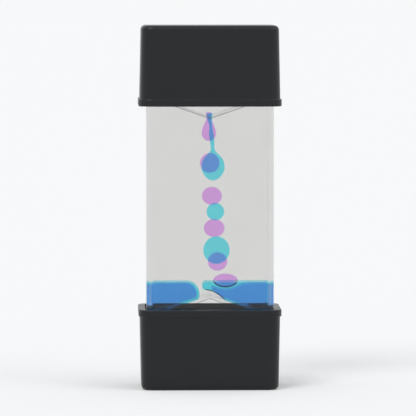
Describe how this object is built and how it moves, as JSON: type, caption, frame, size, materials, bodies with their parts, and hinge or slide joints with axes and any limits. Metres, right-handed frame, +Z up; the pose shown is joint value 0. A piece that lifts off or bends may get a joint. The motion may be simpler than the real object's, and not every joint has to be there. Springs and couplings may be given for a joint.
{
  "type": "liquid motion timer",
  "caption": "Clear upright tank with black end caps; coloured dye drips from funnels, sinks through clear liquid as drops and settles in pools, and starts again when turned over.",
  "frame": {"origin": "middle of the lower cap's flat end, where the timer stands", "axes": "+Z up along the tank; +X to the right and -Y towards the viewer, so the cyan chamber is in front"},
  "size_m": [0.055, 0.035, 0.14],
  "materials": {
    "black_cap": "satin moulded black plastic",
    "clear_tank": "polished clear acrylic",
    "clear_insert": "clear moulded styrene, faint edges",
    "plug": "soft milky plastic",
    "carrier_liquid": "clear oil",
    "cyan_dye": "translucent cyan liquid",
    "pink_dye": "translucent pink liquid"
  },
  "bodies": {
    "timer": {"lower_cap": "black_cap", "upper_cap": "black_cap", "tank_shell": "clear_tank", "lower_tank_lid": "clear_tank", "upper_tank_lid": "clear_tank", "chamber_divider": "clear_insert", "lower_front_funnel": "clear_insert", "lower_rear_funnel": "clear_insert", "upper_front_funnel": "clear_insert", "upper_rear_funnel": "clear_insert", "front_fill_plug": "plug", "rear_fill_plug": "plug", "front_carrier_liquid": "carrier_liquid", "rear_carrier_liquid": "carrier_liquid", "front_dye_pool": "cyan_dye", "front_sump_dye": "cyan_dye", "front_forming_drop": "cyan_dye", "rear_dye_pool": "pink_dye", "rear_sump_dye": "pink_dye", "rear_forming_drop": "pink_dye", "rear_landed_drop": "pink_dye"},
    "front_drop_upper": {"front_drop_upper": "cyan_dye"},
    "front_drop_lower": {"front_drop_lower": "cyan_dye"},
    "rear_drop_top": {"rear_drop_top": "pink_dye"},
    "rear_drop_upper": {"rear_drop_upper": "pink_dye"},
    "rear_drop_lower": {"rear_drop_lower": "pink_dye"},
    "rear_drop_bottom": {"rear_drop_bottom": "pink_dye"}
  },
  "joints": [
    {"name": "front_drop_upper_sink", "type": "slide", "parent": "timer", "child": "front_drop_upper", "axis": [0, 0, -1], "range_m": [-0.0081, 0.0063]},
    {"name": "front_drop_lower_sink", "type": "slide", "parent": "timer", "child": "front_drop_lower", "axis": [0, 0, -1], "range_m": [-0.0081, 0.0063]},
    {"name": "rear_drop_top_sink", "type": "slide", "parent": "timer", "child": "rear_drop_top", "axis": [0, 0, -1], "range_m": [-0.0043, 0.0008]},
    {"name": "rear_drop_upper_sink", "type": "slide", "parent": "timer", "child": "rear_drop_upper", "axis": [0, 0, -1], "range_m": [-0.0043, 0.0008]},
    {"name": "rear_drop_lower_sink", "type": "slide", "parent": "timer", "child": "rear_drop_lower", "axis": [0, 0, -1], "range_m": [-0.0043, 0.0008]},
    {"name": "rear_drop_bottom_sink", "type": "slide", "parent": "timer", "child": "rear_drop_bottom", "axis": [0, 0, -1], "range_m": [-0.0043, 0.0008]}
  ],
  "couplings": [
    {"joint": "front_drop_upper_sink", "follows": "front_drop_lower_sink", "ratio": 1},
    {"joint": "rear_drop_top_sink", "follows": "rear_drop_lower_sink", "ratio": 1},
    {"joint": "rear_drop_upper_sink", "follows": "rear_drop_lower_sink", "ratio": 1},
    {"joint": "rear_drop_bottom_sink", "follows": "rear_drop_lower_sink", "ratio": 1}
  ]
}
